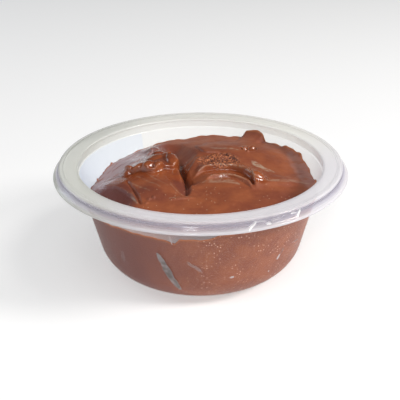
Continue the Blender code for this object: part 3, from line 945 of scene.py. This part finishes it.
class Finish:
    """A material. Its methods add nodes, and most give the socket that holds their result."""

    def __init__(self, name):
        self.material = bpy.data.materials.new(name)
        self.material.use_nodes = True
        self.nodes = self.material.node_tree.nodes
        self.links = self.material.node_tree.links
        self.nodes.clear()

    def fill(self, node, values):
        """Links each of these inputs of a node to its socket, or sets it to its plain value."""
        for slot, value in values.items():
            if isinstance(value, bpy.types.NodeSocket):
                self.links.new(value, node.inputs[slot])
            else:
                node.inputs[slot].default_value = value
        return node

    def new(self, kind):
        return self.nodes.new("ShaderNode" + kind)

    def add(self, kind, values):
        return self.fill(self.new(kind), values)

    def surface(self, shader):
        """Makes a shader the surface, and gives the finished material."""
        self.add("OutputMaterial", {"Surface": shader.outputs[0]})
        return self.material

    def place(self):
        return self.new("TexCoord").outputs["Object"]

    def attribute(self, name):
        """One of the numbers stored on the mesh."""
        node = self.new("Attribute")
        node.attribute_name = name
        return node.outputs["Fac"]

    def work(self, kind, operation, *values):
        """A node that works something out from these sockets or plain values."""
        node = self.new(kind)
        node.operation = operation
        return self.fill(node, dict(enumerate(values)))

    def math(self, operation, *values):
        return self.work("Math", operation, *values).outputs[0]

    def multiply(self, first, second):
        return self.math("MULTIPLY", first, second)

    def least(self, first, second):
        return self.math("MINIMUM", first, second)

    def most(self, first, second):
        return self.math("MAXIMUM", first, second)

    def noise(self, place, size, detail=2.0):
        """Soft noise from 0 to 1 whose patches are about that many millimetres across."""
        values = {"Vector": place, "Scale": 1.0 / (size * MM), "Detail": detail}
        return self.add("TexNoise", values).outputs["Fac"]

    def ramp(self, value, low, high, first=0.0, last=1.0):
        """Turns the part of a value from low to high into first to last, and cuts off the rest."""
        node = self.new("MapRange")
        node.interpolation_type = "SMOOTHSTEP"
        limits = {"From Min": low, "From Max": high, "To Min": first, "To Max": last}
        return self.fill(node, {"Value": value, **limits}).outputs["Result"]

    def patchy(self, place, size, detail, *limits):
        """Soft noise put through a ramp."""
        return self.ramp(self.noise(place, size, detail), *limits)

    def blend(self, share, first, second):
        """A colour between two others. Each may be a socket or plain red, green and blue."""
        node = self.new("Mix")
        node.data_type = "RGBA"
        self.fill(node, {"Factor": share})
        for slot, colour in ((6, first), (7, second)):
            self.fill(node, {slot: (*colour, 1.0) if isinstance(colour, tuple) else colour})
        return node.outputs[2]

    def mapped(self, place, location, rotation, scale):
        """The place as measured in a frame that is moved, turned and scaled that way."""
        node = self.new("Mapping")
        node.vector_type = "TEXTURE"
        values = {"Vector": place, "Location": location, "Rotation": rotation, "Scale": scale}
        return self.fill(node, values).outputs[0]

    def specks(self, place, spacing, radius, share):
        """1 inside small round specks, 0 outside: only that share of the cells holds one."""
        cells = self.add("TexVoronoi", {"Vector": place, "Scale": 1.0 / (spacing * MM)})
        edge = radius / spacing
        inside = self.ramp(cells.outputs["Distance"], edge * 0.5, edge, 1.0, 0.0)
        pick = self.add("SeparateColor", {0: cells.outputs["Color"]})
        return self.multiply(inside, self.math("LESS_THAN", pick.outputs[0], share))

    def bump(self, height, depth, before=None):
        """A bump of that many millimetres, on top of another one if there is one."""
        node = self.add("Bump", {"Height": height, "Distance": depth * MM})
        if before is not None:
            self.fill(node, {"Normal": before})
        return node.outputs[0]

    def lenses(self, place, table, reach):
        """How far each point is inside one of the ovals, which lie in the tub's sheet as thin lenses."""
        ripple = self.add("TexNoise", {"Vector": place, "Scale": 1.0 / (LENS_RIPPLE * MM)})
        shift = [LENS_SHIFT * MM] * 3
        moved = self.work("VectorMath", "MULTIPLY_ADD", ripple.outputs["Color"], shift, place).outputs[0]
        total = None
        for direction, height, half_height, half_width, lean, strength in table:
            turn = math.radians(direction)
            centre = (reach(height) * math.cos(turn), reach(height) * math.sin(turn), height)
            location = [(value + LENS_SHIFT / 2.0) * MM for value in centre]
            rotation = (-math.radians(lean), WALL_LEAN, turn)
            scale = (LENS_THICKNESS * MM, half_width * MM, half_height * MM)
            away = self.work("VectorMath", "LENGTH", self.mapped(moved, location, rotation, scale))
            one = self.ramp(away.outputs["Value"], *LENS_EDGE, strength, 0.0)
            total = one if total is None else self.most(total, one)
        return total


def mousse_wall_marks(finish, place, colour, specks):
    """The colour with its specks and, where the mousse lies against the wall, swirls and pinholes."""
    colour = finish.blend(finish.multiply(specks, SPECK_SHARE), colour, MOUSSE_SPECK)
    walled = finish.attribute("walled")
    swirl = finish.math("SUBTRACT", finish.noise(place, SWIRL_SIZE, 1.0), 0.5)
    swirl = finish.multiply(finish.ramp(finish.math("ABSOLUTE", swirl), *SWIRL_LINE), walled)
    colour = finish.blend(finish.multiply(swirl, SWIRL_SHARE), colour, MOUSSE_LIGHT)
    clusters = finish.multiply(finish.patchy(place, *PINHOLE_CLUSTERS), walled)
    pinholes = finish.multiply(finish.specks(place, *PINHOLES), clusters)
    return finish.blend(pinholes, colour, MOUSSE_PINHOLE)


def mousse_material():
    """Dense chocolate cream: mottled, with specks, pits and streaks of painted sheen, orange where it is
    thin, with painted highlights, painted light and painted shade.
    """
    finish = Finish("mousse_finish")
    place = finish.place()
    wet_and_sheen = finish.attribute("wet_and_sheen")
    foam = finish.attribute("foam")
    hollow = finish.attribute("hollow")

    colour = finish.blend(finish.patchy(place, *MOTTLE), MOUSSE_DEEP, MOUSSE_WARM)
    colour = finish.blend(finish.patchy(place, *GRAIN), colour, MOUSSE_LIGHT)
    # Painted sheen in streaks where the top is wet.
    along = finish.mapped(place, (0.0, 0.0, 0.0), (0.0, 0.0, PAINTED_SHEEN_DIRECTION), PAINTED_SHEEN_SCALE)
    colour = finish.blend(finish.multiply(wet_and_sheen, finish.patchy(along, *PAINTED_SHEEN_STREAKS)), colour, MOUSSE_PAINTED_SHEEN)
    # Painted shade, in ovals on the top and towards the left of the side.
    colour = finish.blend(finish.attribute("painted_shade"), colour, MOUSSE_PAINTED_SHADE)
    colour = finish.blend(finish.attribute("thin"), colour, MOUSSE_THIN)
    # Painted highlights and sheens.
    painted_highlight = finish.multiply(finish.attribute("painted_highlight"), finish.patchy(place, *PAINTED_HIGHLIGHT_PATCHES))
    colour = finish.blend(painted_highlight, colour, MOUSSE_PAINTED_HIGHLIGHT)
    specks = finish.multiply(finish.specks(place, *SPECKS), finish.attribute("speckled"))
    colour = mousse_wall_marks(finish, place, colour, specks)
    # Painted light where the top stands out, and painted shade where it lies low.
    colour = finish.blend(finish.ramp(hollow, *RAISED_LIGHT), colour, MOUSSE_LIGHT)
    colour = finish.blend(finish.ramp(hollow, *SUNKEN_SHADE), colour, MOUSSE_SHADE)
    crumb = finish.noise(place, CRUMB_SIZE)
    # Painted shade in the foam's holes, and painted light on its crests.
    holes = finish.multiply(finish.ramp(crumb, *CRUMB_HOLES), foam)
    colour = finish.blend(holes, colour, MOUSSE_HOLE_SHADE)
    crests = finish.multiply(finish.ramp(crumb, *CRUMB_CRESTS), foam)
    colour = finish.blend(crests, colour, MOUSSE_CREST_LIGHT)

    sheen = finish.most(wet_and_sheen, finish.multiply(finish.attribute("gloss"), GLOSS_SHARE))
    sheen = finish.multiply(sheen, finish.ramp(foam, *FOAM_SHEEN))
    rough = finish.ramp(sheen, 0.0, 1.0, ROUGHNESS_DRY, ROUGHNESS_WET)
    uneven = finish.multiply(finish.noise(place, ROUGHNESS_PATCH), ROUGHNESS_NOISE)

    normal = finish.bump(finish.noise(place, SKIN_BUMP_SIZE, 3.0), SKIN_BUMP)
    normal = finish.bump(specks, SPECK_BUMP, normal)
    normal = finish.bump(finish.multiply(crumb, foam), CRUMB_BUMP, normal)
    return finish.surface(finish.add("BsdfPrincipled", {
        "Base Color": colour,
        "Roughness": finish.math("ADD", rough, uneven),
        "Normal": normal,
        "Specular IOR Level": 0.7,
        "Coat Weight": 0.1,
        "Coat Roughness": 0.12,
    }))


def skirt_reach(height):
    """How far from the axis the skirt of the rim is, at any height."""
    return BEAD_RADIUS


def milk_shader(finish, colour):
    """What the light doesn't go straight through: a glossy skin that lets some light glow through."""
    skin = finish.add("BsdfPrincipled", {"Base Color": colour, "Roughness": 0.09})
    glow = finish.add("BsdfTranslucent", {"Color": colour})
    return finish.add("MixShader", {0: TRANSLUCENCY, 1: skin.outputs[0], 2: glow.outputs[0]})


def plastic_material():
    """Milky sheet. It hides more where it is hazier, and where it is looked through at a slant."""
    finish = Finish("tub_finish")
    place = finish.place()
    inside = finish.attribute("inside")
    gaps = finish.lenses(place, WALL_GAPS, wall_reach)
    glints = finish.lenses(place, SKIRT_GLINTS, skirt_reach)
    scratches = finish.lenses(place, WALL_MARKS, wall_reach)

    # Painted light at the back, painted shade on the left and on the skirt, and a painted cool reflection on
    # the far wall.
    colour = MILK
    for name, painted_tone in (("far", MILK_FAR_LIGHT), ("left_shade", MILK_LEFT_SHADE), ("cool", MILK_COOL_REFLECTION), ("skirt", MILK_SKIRT_SHADE)):
        colour = finish.blend(finish.attribute(name), colour, painted_tone)
    # Painted glints on the skirt.
    colour = finish.blend(glints, colour, MILK_GLINT)
    # Painted shade and painted reflection in the air gaps behind the wall.
    gap_colour = finish.blend(finish.patchy(place, *GAP_SHADE_PATCHES), GAP_SHADE, GAP_REFLECTION)
    colour = finish.blend(gaps, colour, gap_colour)

    empty = finish.ramp(finish.attribute("empty"), -EMPTY_EDGE, EMPTY_EDGE)
    clarity = finish.ramp(finish.multiply(empty, inside), 0.0, 1.0, WET_CLARITY, DRY_CLARITY)
    clarity = finish.least(clarity, finish.attribute("clarity"))
    for share, value in ((gaps, GAP_CLARITY), (glints, GLINT_CLARITY), (scratches, GAP_CLARITY)):
        clarity = finish.least(clarity, finish.ramp(share, 0.0, 1.0, 1.0, value))
    facing = finish.math("SUBTRACT", 1.0, finish.new("LayerWeight").outputs["Facing"])
    length = finish.math("DIVIDE", 1.0, finish.most(facing, LEAST_FACING))
    return finish.surface(finish.add("MixShader", {
        0: finish.math("POWER", clarity, length),
        1: milk_shader(finish, colour).outputs[0],
        2: finish.new("BsdfTransparent").outputs[0],
    }))


def floor_material():
    finish = Finish("floor_finish")
    return finish.surface(finish.add("BsdfPrincipled", {
        "Base Color": FLOOR_COLOUR,
        "Roughness": 0.9,
        "Specular IOR Level": 0.0,
        "Emission Strength": FLOOR_GLOW,
    }))


# ------ stage
# Here lengths are in metres, and power in watts.
FLOOR_SIZE = 6.0
FLOOR_COLOUR = (0.62, 0.62, 0.62, 1.0)
FLOOR_GLOW = 0.4
SKY_COLOUR = (0.95, 0.97, 1.0, 1.0)
SKY_STRENGTH = 0.12

# Each lamp faces LAMP_AIM: (name, direction, elevation, distance, (width, height), power, colour).
LAMPS = (
    ("key", -17.0, 36.0, 1.1, (0.34, 0.34), 10.5, (1.0, 0.985, 0.96)),
    ("fill", -92.0, 64.0, 1.1, (1.5, 0.26), 4.2, (1.0, 0.99, 0.98)),
    ("sparkle", -98.0, 31.0, 0.9, (0.16, 0.1), 2.3, (1.0, 1.0, 1.0)),
    ("window", 152.0, 13.0, 1.1, (0.5, 0.5), 1.6, (0.74, 0.86, 1.0)),
)
LAMP_AIM = Vector((0.0, 0.0, 0.03))

EYE = Vector((0.0, -0.2765, 0.1594))
AIM = Vector((-0.00026, 0.0, 0.0265))
CAMERA_ROLL = math.radians(0.344)
CAMERA_LENS = 66.7
SENSOR_WIDTH = 36.0


def area_light(name, direction, elevation, distance, size, power, colour):
    """A lamp that wide and that high, facing the tub from a direction and an elevation."""
    lamp = bpy.data.lights.new(name, "AREA")
    lamp.shape = "ELLIPSE"
    lamp.size, lamp.size_y = size
    lamp.energy = power
    lamp.color = colour
    holder = bpy.data.objects.new(name, lamp)
    bpy.context.scene.collection.objects.link(holder)
    turn, rise = math.radians(direction), math.radians(elevation)
    away = Vector((math.cos(turn) * math.cos(rise), math.sin(turn) * math.cos(rise), math.sin(rise)))
    holder.location = away * distance + LAMP_AIM
    holder.rotation_euler = away.to_track_quat("Z", "Y").to_euler()


def build_stage():
    bpy.ops.mesh.primitive_plane_add(size=FLOOR_SIZE, location=(0.0, 0.0, 0.0))
    floor = bpy.context.object
    floor.name = "floor"
    floor.data.materials.append(floor_material())
    world = bpy.data.worlds.new("studio")
    world.use_nodes = True
    sky = world.node_tree.nodes["Background"]
    sky.inputs[0].default_value = SKY_COLOUR
    sky.inputs[1].default_value = SKY_STRENGTH
    scene = bpy.context.scene
    scene.world = world
    for lamp in LAMPS:
        area_light(*lamp)
    scene.view_settings.view_transform = "Standard"
    scene.cycles.transparent_max_bounces = 24


def build_camera():
    """A camera that looks down at the tub from the front, as a phone held at arm's length."""
    camera = bpy.data.cameras.new("camera")
    camera.sensor_width = SENSOR_WIDTH
    camera.lens = CAMERA_LENS
    camera.clip_start = 0.01
    holder = bpy.data.objects.new("camera", camera)
    bpy.context.scene.collection.objects.link(holder)
    ahead = (AIM - EYE).normalized()
    right = ahead.cross(Vector((0.0, 0.0, 1.0))).normalized()
    up = right.cross(ahead)
    cosine, sine = math.cos(CAMERA_ROLL), math.sin(CAMERA_ROLL)
    rolled_right = right * cosine - up * sine
    rolled_up = right * sine + up * cosine
    turn = Matrix((rolled_right, rolled_up, -ahead)).transposed().to_4x4()
    holder.matrix_world = Matrix.Translation(EYE) @ turn
    bpy.context.scene.camera = holder


def dress(piece, node):
    """Sets a piece in place of one of the frame's solids."""
    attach(piece, "root")
    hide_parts(node)


build_camera()
build_stage()
dress(build_tub(plastic_material()), "tub")
dress(build_mousse(mousse_material()), "mousse")
